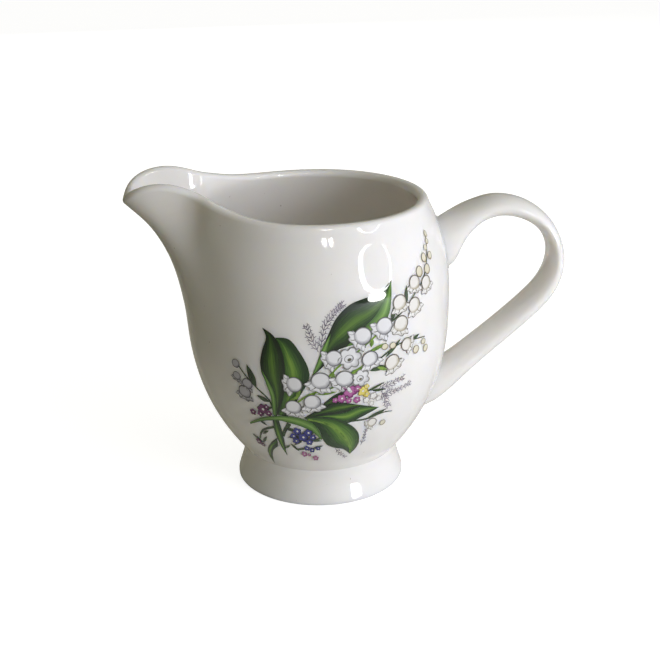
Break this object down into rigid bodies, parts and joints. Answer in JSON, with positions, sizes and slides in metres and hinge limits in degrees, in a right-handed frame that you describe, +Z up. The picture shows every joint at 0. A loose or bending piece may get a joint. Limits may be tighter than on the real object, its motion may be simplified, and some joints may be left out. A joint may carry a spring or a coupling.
{
  "type": "cream jug",
  "caption": "Small glazed porcelain cream jug: round belly on a low foot ring, flared pouring spout, luted strap handle and a printed spray on each side.",
  "frame": {"origin": "centre of the foot ring's resting plane", "axes": "+Z up along the jug's axis; the spout points along -X and the handle along +X; the printed sides face -Y and +Y"},
  "size_m": [0.1356, 0.082, 0.0997],
  "materials": {
    "porcelain": "clear gloss glaze over white porcelain",
    "luting_slip": "the same porcelain slip under the same gloss glaze",
    "transfer_print": "fired ceramic print in greens, greys, violet and white, covered by gloss glaze"
  },
  "bodies": {
    "root": {"jug_body": "porcelain", "handle": "porcelain", "upper_handle_luting": "luting_slip", "lower_handle_luting": "luting_slip", "front_transfer": "transfer_print", "back_transfer": "transfer_print"}
  },
  "joints": []
}
